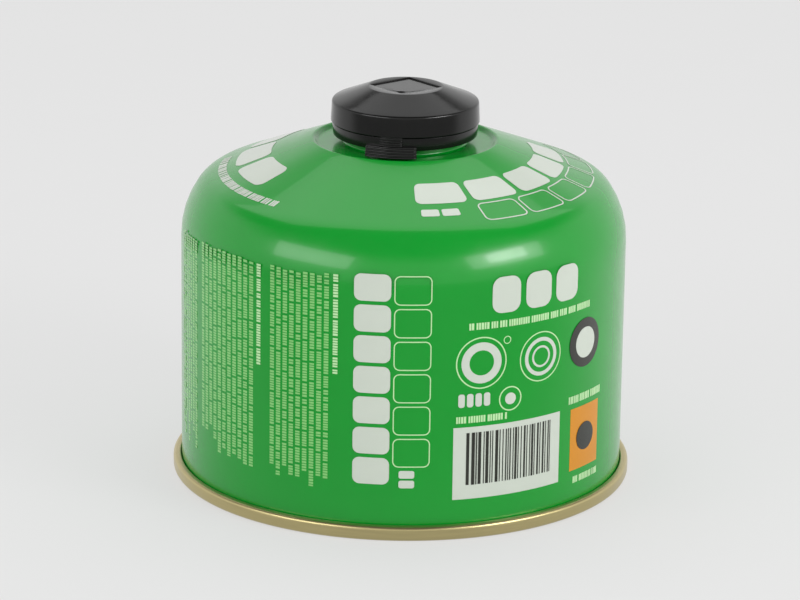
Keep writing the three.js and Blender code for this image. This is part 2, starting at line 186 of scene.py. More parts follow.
def outline(corners, closed=False):
    """Points through corners (radius, height, fillet in millimetres), each fillet an arc of its circle."""
    places = [Vector(corner[:2]) for corner in corners]
    last = len(corners) - 1
    points = []
    for i, place in enumerate(places):
        if len(corners[i]) < 3 or (not closed and i in (0, last)):
            points.append(place)
            continue
        back = places[i - 1] - place
        ahead = places[(i + 1) % len(places)] - place
        half = back.angle(ahead) / 2
        reach = min(corners[i][2] * MM / math.tan(half), 0.49 * min(back.length, ahead.length))
        middle = (back.normalized() + ahead.normalized()).normalized()
        centre = place + middle * reach / math.cos(half)
        points += arc(centre, place + back.normalized() * reach, place + ahead.normalized() * reach)
    return points


def arc(centre, start, end):
    """Points of the shorter arc about a centre, both ends included."""
    first, second = start - centre, end - centre
    begin = math.atan2(first.y, first.x)
    turn = (math.atan2(second.y, second.x) - begin + math.pi) % math.tau - math.pi
    count = max(2, math.ceil(abs(turn) / ARC_STEP))
    turns = [begin + turn * i / count for i in range(count + 1)]
    return [centre + first.length * Vector((math.cos(t), math.sin(t))) for t in turns]


def refined(points, closed=False):
    """The same section with its straight stretches cut short, so that shading stays local."""
    made = []
    ends = points[1:] + (points[:1] if closed else [])
    for start, end in zip(points, ends):
        count = max(1, math.ceil((end - start).length / LONGEST_FACE))
        made += [start.lerp(end, i / count) for i in range(count)]
    return made if closed else made + points[-1:]


def add_section(bm, points, closed):
    """Adds vertices at the given radii and heights, joined by edges, and gives both."""
    verts = [bm.verts.new((p[0], 0, p[1])) for p in points]
    edges = [bm.edges.new(pair) for pair in zip(verts, verts[1:])]
    if closed:
        edges.append(bm.edges.new((verts[-1], verts[0])))
    return verts + edges


def turned(points, steps, closed=False):
    """Mesh of a section spun once about Z."""
    bm = bmesh.new()
    section = add_section(bm, refined(points, closed), closed)
    bmesh.ops.spin(
        bm, geom=section, cent=(0, 0, 0), axis=(0, 0, 1), angle=math.tau, steps=steps, use_merge=True
    )
    bmesh.ops.remove_doubles(bm, verts=bm.verts, dist=MM / 10000)
    bmesh.ops.recalc_face_normals(bm, faces=bm.faces)
    return bm


def wound(bm, section, angle, steps, rise=0.0):
    """Winds a closed section part or many times round Z while it rises, and closes both ends."""
    climb = (0, 0, rise / steps)
    bmesh.ops.spin(bm, geom=section, cent=(0, 0, 0), axis=(0, 0, 1), dvec=climb, angle=angle, steps=steps)
    bmesh.ops.holes_fill(bm, edges=bm.edges, sides=0)
    bmesh.ops.recalc_face_normals(bm, faces=bm.faces)


def washer(inner, low, high):
    """Flat ring from its hole out to the reach of its node's box, with its edges a little rounded."""
    fillet = 0.15
    corners = [(inner, low.z), (high.x, low.z), (high.x, high.z), (inner, high.z)]
    return turned(outline([(*corner, fillet) for corner in corners], True), VALVE_STEPS, True)


def edges_of(verts):
    """Edges that meet the given vertices, each once."""
    return list(dict.fromkeys(edge for vert in verts for edge in vert.link_edges))


def finished_mesh(name, bm):
    mesh = bpy.data.meshes.new(name)
    bm.to_mesh(mesh)
    bm.free()
    return mesh


def join(bm, other):
    """Adds the other mesh to the first."""
    mesh = finished_mesh("joined", other)
    bm.from_mesh(mesh)
    bpy.data.meshes.remove(mesh)


def add_object(name, data):
    made = bpy.data.objects.new(name, data)
    bpy.context.scene.collection.objects.link(made)
    return made


def add_piece(name, bm, material, body, slot, *nodes, crease=40):
    """Makes the mesh an object that rides on a body and stands for the given nodes."""
    mesh = finished_mesh(name, bm)
    mesh.shade_smooth()
    mesh.set_sharp_from_angle(angle=math.radians(crease))
    mesh.materials.append(material)
    piece = add_object(name, mesh)
    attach(piece, body)
    if nodes:
        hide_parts(*nodes)
    return piece


# Materials


def add_node(tree, kind, inputs=None, **settings):
    """Adds a node with its settings, and fills or links its inputs."""
    made = tree.nodes.new(kind)
    for name, value in settings.items():
        setattr(made, name, value)
    for name, value in (inputs or {}).items():
        if isinstance(value, bpy.types.NodeSocket):
            tree.links.new(value, made.inputs[name])
        else:
            made.inputs[name].default_value = value
    return made


def new_material(name):
    """Material with a Principled shader, and its node tree and shader."""
    material = bpy.data.materials.new(name)
    material.use_nodes = True
    tree = material.node_tree
    return material, tree, tree.nodes["Principled BSDF"]


def set_shader(shader, **values):
    for name, value in values.items():
        shader.inputs[name.replace("_", " ")].default_value = value


def grain(tree, size, detail=2.0, coordinates=None):
    """Noise whose features are about the given size in metres."""
    place = coordinates or add_node(tree, "ShaderNodeTexCoord").outputs["Object"]
    return add_node(tree, "ShaderNodeTexNoise", {"Vector": place, "Scale": 1 / size, "Detail": detail})


def around(tree, stretch):
    """Coordinates of height, radius and stretched way round, for marks that run round the axis."""
    place = add_node(tree, "ShaderNodeTexCoord").outputs["Object"]
    parts = add_node(tree, "ShaderNodeSeparateXYZ", {"Vector": place})
    sides = {0: parts.outputs["Y"], 1: parts.outputs["X"]}
    turn = add_node(tree, "ShaderNodeMath", sides, operation="ARCTAN2")
    flat = add_node(tree, "ShaderNodeVectorMath", {0: place, 1: (1, 1, 0)}, operation="MULTIPLY")
    radius = add_node(tree, "ShaderNodeVectorMath", {0: flat.outputs["Vector"]}, operation="LENGTH")
    way = add_node(tree, "ShaderNodeMath", {0: turn.outputs[0], 1: stretch}, operation="MULTIPLY")
    made = {"X": way.outputs[0], "Y": radius.outputs["Value"], "Z": parts.outputs["Z"]}
    return add_node(tree, "ShaderNodeCombineXYZ", made).outputs["Vector"]


def vary_roughness(tree, shader, noise, low, high):
    """Spreads the roughness between two values by the middle part of the noise."""
    spread = {"From Min": 0.3, "From Max": 0.7, "To Min": low, "To Max": high}
    ranged = add_node(tree, "ShaderNodeMapRange", {"Value": noise.outputs["Fac"], **spread})
    tree.links.new(ranged.outputs["Result"], shader.inputs["Roughness"])


def vary_colour(tree, shader, noise, first, second):
    """Shades the surface between two close tones of its colour."""
    mix = add_node(tree, "ShaderNodeMix", data_type="RGBA")
    mix.inputs[6].default_value = first
    mix.inputs[7].default_value = second
    tree.links.new(noise.outputs["Fac"], mix.inputs[0])
    tree.links.new(mix.outputs[2], shader.inputs["Base Color"])


def add_bump(tree, shader, noise, height):
    relief = {"Height": noise.outputs["Fac"], "Strength": 1.0, "Distance": height}
    bump = add_node(tree, "ShaderNodeBump", relief)
    tree.links.new(bump.outputs["Normal"], shader.inputs["Normal"])


def tinted(value, share):
    """The colour made darker or lighter by a share."""
    return tuple(min(1.0, c * share) for c in value[:3]) + (1.0,)


def enamel_print(name, value):
    """Stoved enamel or ink on tinplate under gloss varnish: flat colour below a clear, waved coat."""
    material, tree, shader = new_material(name)
    set_shader(shader, IOR=1.48, Coat_Weight=0.35, Coat_Roughness=0.05, Coat_IOR=1.5)
    mottle = grain(tree, 9 * MM)
    vary_colour(tree, shader, mottle, tinted(value, 0.97), tinted(value, 1.03))
    vary_roughness(tree, shader, grain(tree, 3 * MM), 0.22, 0.27)
    # Orange peel of the varnish, one to two millimetres across and far under a hair deep
    add_bump(tree, shader, grain(tree, 1.6 * MM, 1.0), 0.0015 * MM)
    return material


def gold_lacquer(value):
    """Gold-lacquered tinplate, seamed by rollers: satin metal with faint marks that run round the can."""
    material, tree, shader = new_material("gold_lacquered_tinplate")
    set_shader(shader, Metallic=1.0, Coat_Weight=0.3, Coat_Roughness=0.25)
    marks = grain(tree, 0.5 * MM, 3.0, around(tree, 2 * MM))
    vary_colour(tree, shader, marks, tinted(value, 0.9), tinted(value, 1.08))
    vary_roughness(tree, shader, marks, 0.28, 0.42)
    add_bump(tree, shader, marks, 0.012 * MM)
    return material


def bright_tinplate():
    """Bright tinplate, pressed and rolled: clear metal with fine rings from the tool."""
    material, tree, shader = new_material("bright_tinplate")
    set_shader(shader, Metallic=1.0)
    marks = grain(tree, 0.3 * MM, 3.0, around(tree, 1 * MM))
    vary_colour(tree, shader, marks, linear("#BDBBB4"), linear("#D2D0CA"))
    vary_roughness(tree, shader, marks, 0.18, 0.32)
    add_bump(tree, shader, marks, 0.006 * MM)
    return material


def spring_wire():
    """Stainless spring wire, drawn: bright metal with a dull streak along the wire."""
    material, tree, shader = new_material("stainless_spring_wire")
    set_shader(shader, Metallic=1.0)
    marks = grain(tree, 0.2 * MM, 2.0, around(tree, 1 * MM))
    vary_colour(tree, shader, marks, linear("#9C9B98"), linear("#B8B7B3"))
    vary_roughness(tree, shader, marks, 0.25, 0.4)
    return material


def black_polypropylene(value):
    """Black polypropylene, injection moulded: deep, half-gloss and very finely grained."""
    material, tree, shader = new_material("black_polypropylene")
    set_shader(shader, IOR=1.49)
    vary_colour(tree, shader, grain(tree, 4 * MM), tinted(value, 0.9), tinted(value, 1.15))
    vary_roughness(tree, shader, grain(tree, 2.5 * MM), 0.13, 0.19)
    # Spark-eroded grain of the mould, drawn at a quarter millimetre so that it shows
    add_bump(tree, shader, grain(tree, 0.25 * MM, 2.0), 0.003 * MM)
    return material


def natural_acetal():
    """Acetal, moulded and undyed: milky white with a soft shine."""
    material, tree, shader = new_material("natural_acetal")
    set_shader(shader, IOR=1.48, Subsurface_Weight=0.15, Subsurface_Scale=0.5 * MM)
    vary_colour(tree, shader, grain(tree, 2 * MM), linear("#DEDBD2"), linear("#ECEAE3"))
    vary_roughness(tree, shader, grain(tree, 1 * MM), 0.32, 0.45)
    return material


def nitrile_rubber():
    """Nitrile rubber, cut from sheet: matt black with a dusty grain."""
    material, tree, shader = new_material("nitrile_rubber")
    set_shader(shader, IOR=1.52)
    vary_colour(tree, shader, grain(tree, 0.6 * MM), linear("#1C1C1C"), linear("#2A2A29"))
    vary_roughness(tree, shader, grain(tree, 0.6 * MM), 0.6, 0.8)
    add_bump(tree, shader, grain(tree, 0.15 * MM), 0.01 * MM)
    return material


# Pieces of the can


def dish_height(can, radius):
    """Height of the end's underside: a sphere through the top of the chuck wall."""
    rim = can.wall_radius - can.sheet - GAP - can.end_sheet
    sphere = (rim**2 + can.dish_rise**2) / (2 * can.dish_rise)
    return can.chuck_height + can.dish_rise - sphere + math.sqrt(sphere**2 - radius**2)


def dome_places(can):
    """Arc centres of the shoulder, the dome's edge, and the edge and floor of the sunk ring."""
    turn, slope = can.lower_turn, can.dome_slope
    lower = Vector((can.wall_radius - can.lower_shoulder, can.shoulder_start))
    upper = lower + (can.lower_shoulder - can.upper_shoulder) * Vector((math.cos(turn), math.sin(turn)))
    edge = upper + can.upper_shoulder * Vector((math.sin(slope), math.cos(slope)))
    floor = body_high.z - can.neck_rise
    ring_edge = floor + can.ring_depth
    ring_radius = edge.x - (ring_edge - edge.y) / math.tan(slope)
    return lower, upper, edge, Vector((ring_radius, ring_edge)), floor


def body_section(can):
    """Underside above the dish, wall, shoulder, dome, sunk ring, neck bead and the valve's pocket."""
    lower, upper, edge, ring, ring_floor = dome_places(can)
    skirt = can.wall_radius - can.sheet
    skirt_foot = 1.3 * MM
    over_dish = can.end_sheet + GAP
    under = [skirt * i / DISH_STEPS for i in range(DISH_STEPS + 1)]
    points = [Vector((r, dish_height(can, r) + over_dish)) for r in under]
    points += [Vector((skirt, skirt_foot)), Vector((can.wall_radius, skirt_foot))]
    joint = lower + can.lower_shoulder * Vector((math.cos(can.lower_turn), math.sin(can.lower_turn)))
    points += arc(lower, Vector((can.wall_radius, can.shoulder_start)), joint)
    points += arc(upper, joint, edge)[1:]
    ring_slant = 1.1 * MM
    mouth, bead_top = can.mouth_radius, body_high.z
    neck = mouth + 1.6 * MM
    bead = mouth + 2.2 * MM
    bead_foot = bead_top - 1.5 * MM
    room = 0.5 * MM
    pocket = mouth + 0.7 * MM
    cup_foot = cup_low.z - GAP
    flange = housing_high.x + room
    flange_foot = cup_foot - 1.9 * MM
    well = stem_gasket_high.x + room
    well_foot = housing_low.z - room
    corners = [
        edge,
        (ring.x, ring.y, 0.9),
        (ring.x - ring_slant, ring_floor, 0.9),
        (neck, ring_floor, 0.6),
        (neck, bead_foot, 0.2),
        (bead, bead_foot, 0.6),
        (bead, bead_top, 0.6),
        (mouth, bead_top, 0.6),
        (mouth, bead_foot),
        (pocket, bead_foot - 0.7 * MM),
        (pocket, cup_foot),
        (flange, cup_foot),
        (flange, flange_foot),
        (well, flange_foot),
        (well, well_foot),
        (0, well_foot),
    ]
    return points + outline(corners)[1:]


def end_section(can):
    """Chuck wall, dish and the double seam that closes on the wall's foot."""
    sheet = can.end_sheet
    outer = can.wall_radius - can.sheet - GAP
    inner = outer - sheet
    share = [i / DISH_STEPS for i in range(DISH_STEPS)]
    under = [(inner * s, dish_height(can, inner * s)) for s in share]
    over = [(outer * s, dish_height(can, outer * s) + sheet) for s in reversed(share)]
    seam, top = can.seam_radius, can.seam_height
    hook = can.wall_radius + GAP / 2
    hook_foot = 1.0 * MM
    corners = under + [
        (inner, can.chuck_height, 0.7),
        (inner, 0, 0.9),
        (seam, 0, 1.0),
        (seam, top, 0.9),
        (hook, top, 0.4),
        (hook, hook_foot),
        (outer, hook_foot),
        (outer, dish_height(can, outer) + sheet),
    ]
    return outline(corners + over)


# Print

# Half a film's thickness, the strips it is cut into before it is bent, and the dome print's mean radius
FILM = 0.03 * MM
STRIP = 1.5 * MM
DOME_PRINT_RADIUS = 38 * MM

# Fine strokes in millimetres: length, gap in a group and gap between groups
STROKE = 0.46
STROKE_GAP = 0.17
GROUP_GAP = 0.4

# Share of its pitch that a line of strokes fills
LINE_FILL = 0.64


def on_wall(can, u, v, lift):
    """Place on the wall: u is the way round from the front, v the height."""
    turn = u / can.wall_radius
    radius = can.wall_radius + lift
    return Vector((radius * math.sin(turn), -radius * math.cos(turn), v))


def on_dome(can, u, v, lift):
    """Place on the dome: u is the way round at the print's mean radius, v the radius."""
    edge = dome_places(can)[2]
    turn = u / DOME_PRINT_RADIUS
    radius = v + lift * math.sin(can.dome_slope)
    height = edge.y + (edge.x - v) * math.tan(can.dome_slope) + lift * math.cos(can.dome_slope)
    return Vector((radius * math.sin(turn), -radius * math.cos(turn), height))


def keep_frame(art, face, line):
    """Leaves only a band of the given width inside the face's edge."""
    bmesh.ops.inset_region(art, faces=[face], use_boundary=True, use_even_offset=True, thickness=line * MM)
    bmesh.ops.delete(art, geom=[face], context="FACES_ONLY")


def block(art, left, right, foot, top, corner=0.0, line=0.0):
    """Flat block in millimetres, with round corners, or its frame where a line width is given."""
    before = set(art.faces)
    middle = Vector((left + right, foot + top, 0)) * MM / 2
    reach = Vector((right - left, top - foot, 2)) * MM / 2
    place = Matrix.LocRotScale(middle, None, reach)
    verts = bmesh.ops.create_grid(art, x_segments=1, y_segments=1, size=1, matrix=place)["verts"]
    if corner:
        bmesh.ops.bevel(
            art, geom=verts, offset=corner * MM, affect="VERTICES", segments=5, profile=0.5, material=-1
        )
    if line:
        keep_frame(art, [face for face in art.faces if face not in before][0], line)


def disc(art, u, v, radius, line=0.0):
    """Flat disc in millimetres, or a ring where a line width is given."""
    before = set(art.faces)
    place = Matrix.Translation(Vector((u, v, 0)) * MM)
    bmesh.ops.create_circle(art, cap_ends=True, segments=48, radius=radius * MM, matrix=place)
    if line:
        keep_frame(art, [face for face in art.faces if face not in before][0], line)


def row(art, left, right, foot, top, count, gap, **style):
    """Blocks side by side."""
    width = (right - left - gap * (count - 1)) / count
    for i in range(count):
        start = left + (width + gap) * i
        block(art, start, start + width, foot, top, **style)


def column(art, left, right, foot, top, count, gap, **style):
    """Blocks one above the other."""
    height = (top - foot - gap * (count - 1)) / count
    for i in range(count):
        start = foot + (height + gap) * i
        block(art, left, right, start, start + height, **style)


def strokes(start, end, draw):
    """Starts and ends of short strokes with small gaps, in groups of two to nine."""
    place = start
    while place < end:
        for _ in range(draw.randint(2, 9)):
            stroke = STROKE * draw.uniform(0.8, 1.2)
            if place + stroke > end:
                return
            yield place, place + stroke
            place += stroke + STROKE_GAP
        place += GROUP_GAP


def stroke_line(art, left, right, foot, top, draw):
    for start, end in strokes(left, right, draw):
        block(art, start, end, foot, top)


def stroke_column(art, left, right, top, foots, draw):
    """Lines of strokes that run upwards side by side, each from its own foot."""
    pitch = (right - left) / len(foots)
    for i, foot in enumerate(foots):
        edge = left + pitch * i
        for start, end in strokes(foot, top, draw):
            block(art, edge, edge + pitch * LINE_FILL, start, end)


def print_film(name, art, place, material, layer=1):
    """Bends the flat artwork on to the can as a thin closed film."""
    can = bpy.context.scene.can_sizes
    across = [vert.co.x for vert in art.verts]
    for i in range(math.ceil(min(across) / STRIP), math.ceil(max(across) / STRIP)):
        geom = art.verts[:] + art.edges[:] + art.faces[:]
        bmesh.ops.bisect_plane(art, geom=geom, dist=1e-7, plane_co=(i * STRIP, 0, 0), plane_no=(1, 0, 0))
    for vert in art.verts:
        vert.co = place(can, vert.co.x, vert.co.y, FILM * layer)
    bmesh.ops.recalc_face_normals(art, faces=art.faces)
    bmesh.ops.solidify(art, geom=art.faces[:], thickness=FILM * (layer + 1))
    bmesh.ops.recalc_face_normals(art, faces=art.faces)
    return add_piece(name, art, material, "can", "printed_steel", crease=30)


def bold_print():
    """White shapes on the wall: block columns, three bold blocks, rings and the bar panel."""
    art = bmesh.new()
    column(art, -11.1, -2.6, 13.2, 63.4, 7, 0.9, corner=1.6)
    column(art, -0.4, 3.2, 12.4, 16.6, 2, 0.5, corner=0.5)
    row(art, 20.9, 45.6, 53.2, 61.8, 3, 1.5, corner=2.4)
    disc(art, 18.6, 41.8, 4.9, line=1.9)
    disc(art, 34.3, 41.2, 4.6, line=0.9)
    disc(art, 34.3, 41.2, 2.6, line=0.5)
    row(art, 13.1, 20.8, 31.4, 34.6, 4, 0.5, corner=0.6)
    disc(art, 26.0, 32.4, 1.4)
    block(art, 12.1, 40.6, 9.2, 26.6)
    return art


def fine_print():
    """Fine strokes in three columns at the left."""
    draw = random.Random(7)
    art = bmesh.new()
    stroke_column(art, -72.0, -59.6, 62.0, [draw.uniform(10, 22) for _ in range(7)], draw)
    foots = [draw.uniform(12, 16) + (4 if i < 3 else 0) for i in range(11)]
    stroke_column(art, -57.4, -36.6, 62.6, foots, draw)
    stroke_column(art, -32.2, -16.4, 62.8, [draw.uniform(11, 15) for _ in range(9)], draw)
    return art


def line_print():
    """Thin pale shapes on the wall: outlined blocks, rings, and short columns and lines of strokes."""
    draw = random.Random(5)
    art = bmesh.new()
    stroke_column(art, -36.2, -34.4, 62.6, [38], draw)
    stroke_column(art, -16.0, -14.2, 62.8, [39], draw)
    column(art, -1.9, 6.7, 17.4, 63.1, 6, 0.8, corner=1.4, line=0.25)
    disc(art, 18.6, 41.8, 6.2, line=0.3)
    disc(art, 24.9, 46.6, 0.95, line=0.2)
    disc(art, 34.3, 41.2, 6.0, line=0.28)
    disc(art, 26.0, 32.4, 2.95, line=0.3)
    stroke_line(art, 15.4, 51.2, 49.8, 51.4, draw)
    stroke_line(art, 12.7, 25.4, 27.6, 29.2, draw)
    stroke_line(art, 43.6, 56.8, 27.4, 29.2, draw)
    stroke_line(art, 45.8, 56.0, 7.6, 9.2, draw)
    return art


def orange_panel():
    art = bmesh.new()
    block(art, 44.4, 55.8, 10.8, 26.0)
    return art


def dark_print():
    """Dark shapes: the round badge, the disc on the panel and plain bars of mixed width."""
    art = bmesh.new()
    disc(art, 49.2, 41.5, 5.9)
    disc(art, 50.1, 18.4, 3.4)
    draw = random.Random(11)
    place = 15.2
    while place < 37.4:
        width = draw.choice((0.25, 0.25, 0.5, 0.75))
        block(art, place, place + width, 12.6, 25.2)
        place += width + draw.choice((0.3, 0.3, 0.55))
    return art


def badge_print():
    art = bmesh.new()
    disc(art, 49.2, 41.5, 3.7)
    return art


def dome_print():
    """White blocks, frames and strokes that run round the dome."""
    art = bmesh.new()
    per_degree = math.radians(1) * DOME_PRINT_RADIUS / MM
    row(art, 4 * per_degree, 109 * per_degree, 30.4, 37.7, 5, 1.6, corner=1.6)
    row(art, 25 * per_degree, 122 * per_degree, 38.7, 45.0, 6, 0.9, corner=1.4, line=0.3)
    row(art, 5.5 * per_degree, 18 * per_degree, 39.8, 42.2, 2, 0.6, corner=0.5)
    row(art, -132 * per_degree, -58 * per_degree, 31.6, 40.0, 3, 2.0, corner=2.0)
    stroke_line(art, -102 * per_degree, -42 * per_degree, 42.2, 44.2, random.Random(3))
    return art


# Valve


def cup_section(valve, can):
    """Pressed cup: curl over the neck bead, crimp below it, flat floor and the stud with its bore."""
    sheet = valve.cup_sheet
    curl_outer, under, stud_top = cup_high.x, cup_low.z, cup_high.z
    curl_top = stud_top - valve.stud_rise
    curl_under = curl_top - sheet
    curl_foot = body_high.z - 1.36 * MM
    stud_under = stud_top - sheet
    floor = curl_top - valve.cup_depth
    outer = can.mouth_radius - GAP
    inner = outer - sheet
    crimp_reach = 0.7 * MM
    crimp = outer + crimp_reach
    crimp_top = body_high.z - 1.8 * MM
    crimp_foot = crimp_top - 2.2 * MM
    root = valve.stud_radius - valve.thread_depth
    bore = stem_gasket_high.x + 0.08 * MM
    corners = [
        (valve.stud_bore, stud_under),
        (bore, stud_under, 0.2),
        (bore, under),
        (outer, under, 0.8),
        (outer, crimp_foot, 0.3),
        (crimp, crimp_foot + crimp_reach, 0.3),
        (crimp, crimp_top - crimp_reach, 0.3),
        (outer, crimp_top, 0.3),
        (outer, curl_under, 0.8),
        (curl_outer - sheet, curl_under, 0.8),
        (curl_outer - sheet, curl_foot, 0.1),
        (curl_outer, curl_foot, 0.1),
        (curl_outer, curl_top, 1.2),
        (inner, curl_top, 1.2),
        (inner, crimp_top, 0.3),
        (crimp - sheet, crimp_top - crimp_reach, 0.3),
        (crimp - sheet, crimp_foot + crimp_reach, 0.3),
        (inner, crimp_foot, 0.3),
        (inner, floor, 0.4),
        (root, floor, 0.5),
        (root, stud_top, 0.5),
        (valve.stud_bore, stud_top, 0.15),
    ]
    return outline(corners, True)


def add_thread(bm, valve):
    """Right-hand ridge wound round the stud, sunk a little into it."""
    steps_per_turn = 48
    pitch = valve.thread_pitch
    foot = cup_high.z - valve.stud_rise - valve.cup_depth + 1.4 * MM
    top = cup_high.z - 1.1 * MM
    turns = int((top - foot) / pitch)
    root = valve.stud_radius - valve.thread_depth - 0.08 * MM
    crest = valve.stud_radius
    half_root = pitch * 0.46
    half_crest = 0.07 * MM
    places = [
        (root, foot - half_root),
        (crest, foot - half_crest),
        (crest, foot + half_crest),
        (root, foot + half_root),
    ]
    ridge = bmesh.new()
    section = add_section(ridge, places, True)
    wound(ridge, section, math.tau * turns, steps_per_turn * turns, pitch * turns)
    join(bm, ridge)


def housing_section():
    """Tube with an inlet in its floor and a flange that bears under the cup."""
    outer, top, foot = stem_gasket_high.x, housing_high.z, housing_low.z
    inner = outer - 1.4 * MM
    inlet = 0.8 * MM
    floor = foot + 1.2 * MM
    flange = housing_high.x
    flange_top = cup_low.z - GAP
    flange_foot = flange_top - 1.4 * MM
    corners = [
        (inlet, foot, 0.2),
        (outer, foot, 0.5),
        (outer, flange_foot, 0.2),
        (flange, flange_foot, 0.3),
        (flange, flange_top, 0.3),
        (outer, flange_top, 0.1),
        (outer, top, 0.2),
        (inner, top, 0.2),
        (inner, floor, 0.3),
        (inlet, floor, 0.1),
    ]
    return outline(corners, True)


def stem_section():
    """Guide pin inside the spring, head under the gasket and a nose through it."""
    top, foot, nose = stem_high.z, stem_low.z, 1.2 * MM
    head = stem_high.x
    head_foot = foot + 5 * MM
    head_top = housing_high.z
    corners = [
        (0, foot),
        (nose, foot, 0.3),
        (nose, head_foot, 0.1),
        (head, head_foot, 0.2),
        (head, head_top, 0.2),
        (nose, head_top, 0.1),
        (nose, top, 0.3),
        (0, top),
    ]
    return outline(corners)


def spring_mesh(turns):
    """Wire of round section wound between the housing's floor and the stem's head."""
    wire = 0.35 * MM
    steps_per_turn = 32
    rise = spring_high.z - spring_low.z - 2 * wire
    bm = bmesh.new()
    start = Matrix.Translation((spring_high.x - wire, 0, spring_low.z + wire))
    place = start @ Matrix.Rotation(math.pi / 2, 4, "X")
    ring = bmesh.ops.create_circle(bm, segments=10, radius=wire, matrix=place)["verts"]
    wound(bm, ring + edges_of(ring), math.tau * turns, steps_per_turn * turns, rise)
    return bm


def squash_spring(spring):
    """Gives the spring its own copy of its mesh."""
    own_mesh(spring)


# Cap

# How far inside the edge of the flat top the spun shell stops, above and below
TOP_RIM = 0.2 * MM
UNDER_RIM = 0.9 * MM


def cap_places(cap):
    """Outer radius, and the heights of foot, step and ceiling."""
    outer = cap.inner_radius + cap.wall
    ring_floor = body_high.z - bpy.context.scene.can_sizes.neck_rise
    foot = ring_floor + 1.95 * MM
    ceiling = cap_high.z - cap.wall - cap.recess_depth
    return outer, foot, foot + cap.step_rise, ceiling


def cap_section(cap):
    """Shell from the ceiling's ring down inside, round the foot and up outside to the flat top."""
    outer, foot, step, ceiling = cap_places(cap)
    slope = cap.cone_drop / (outer - cap.top_radius)
    wall = cap.wall * math.hypot(1, slope)
    collar_outer = 14.2 * MM
    collar_inner = 13.2 * MM
    collar_foot = cup_high.z - bpy.context.scene.valve_sizes.stud_rise + GAP

    def under_cone(radius):
        return min(ceiling, cap_high.z - (radius - cap.top_radius) * slope - wall)

    bend = cap.top_radius + (cap_high.z - wall - ceiling) / slope
    snap = cup_high.x + GAP
    snap_top, snap_foot = foot + 1.0 * MM, foot + 0.3 * MM
    flare = outer + 0.25 * MM
    skirt_foot, skirt_top = flare - 0.55 * MM, flare - 0.35 * MM
    groove = flare - 0.8 * MM
    corners = [
        (cap.top_radius - UNDER_RIM, ceiling),
        (bend, ceiling, 0.5),
        (collar_inner, under_cone(collar_inner), 0.15),
        (collar_inner, collar_foot, 0.2),
        (collar_outer, collar_foot, 0.2),
        (collar_outer, under_cone(collar_outer), 0.15),
        (cap.inner_radius, under_cone(cap.inner_radius), 0.4),
        (cap.inner_radius, snap_top, 0.2),
        (snap, (snap_top + snap_foot) / 2, 0.15),
        (cap.inner_radius, snap_foot, 0.1),
        (cap.inner_radius, foot, 0.1),
        (skirt_foot, foot, 0.35),
        (skirt_top, step - 0.3 * MM, 0.06),
        (groove, step - 0.2 * MM, 0.06),
        (groove, step, 0.06),
        (flare, step, 0.12),
        (outer, cap_high.z - cap.cone_drop, 0.7),
        (cap.top_radius, cap_high.z, 0.6),
        (cap.top_radius - TOP_RIM, cap_high.z),
    ]
    return outline(corners)


def ring_edges(bm, radius, height):
    """Boundary edges that lie on a circle about Z."""

    def is_on(vert):
        return abs(vert.co.xy.length - radius) < 1e-6 and abs(vert.co.z - height) < 1e-6

    return [edge for edge in bm.edges if edge.is_boundary and all(is_on(vert) for vert in edge.verts)]


def sink(bm, edges, depth):
    """Draws a wall down from a loop of edges, and gives the loop at its foot."""
    made = bmesh.ops.extrude_edge_only(bm, edges=edges)["geom"]
    verts = [item for item in made if isinstance(item, bmesh.types.BMVert)]
    bmesh.ops.translate(bm, verts=verts, vec=(0, 0, -depth))
    return [item for item in made if isinstance(item, bmesh.types.BMEdge) and item.is_boundary]


def close_top(bm, cap):
    """Flat top with the square recess and the hole through its floor."""
    ceiling = cap_places(cap)[3]
    top = cap_high.z
    rim = ring_edges(bm, cap.top_radius - TOP_RIM, top)
    under = ring_edges(bm, cap.top_radius - UNDER_RIM, ceiling)
    turn = Matrix.Translation((0, 0, top)) @ Matrix.Rotation(cap.recess_turn + math.pi / 4, 4, "Z")
    reach = cap.recess_side / math.sqrt(2)
    square = bmesh.ops.create_circle(bm, segments=4, radius=reach, matrix=turn)["verts"]
    sides = edges_of(square)
    before = set(bm.edges) - set(sides)
    bmesh.ops.subdivide_edges(bm, edges=sides, cuts=CAP_STEPS // 4 - 1)
    mouth = [edge for edge in bm.edges if edge not in before]
    bmesh.ops.bridge_loops(bm, edges=rim + mouth)
    floor = sink(bm, mouth, cap.recess_depth)
    vent_place = Vector((0, -cap.vent_offset, top - cap.recess_depth))
    vent_place.rotate(Matrix.Rotation(cap.tab_azimuth + math.pi / 2, 3, "Z"))
    place = Matrix.Translation(vent_place)
    hole = bmesh.ops.create_circle(bm, segments=CAP_STEPS, radius=cap.vent_radius, matrix=place)["verts"]
    vent = edges_of(hole)
    bmesh.ops.bridge_loops(bm, edges=floor + vent)
    bmesh.ops.bridge_loops(bm, edges=sink(bm, vent, vent_place.z - ceiling) + under)
    bmesh.ops.recalc_face_normals(bm, faces=bm.faces)
    bmesh.ops.bevel(
        bm,
        geom=mouth,
        offset=0.08 * MM,
        affect="EDGES",
        segments=2,
        profile=0.5,
        material=-1,
        clamp_overlap=True,
    )


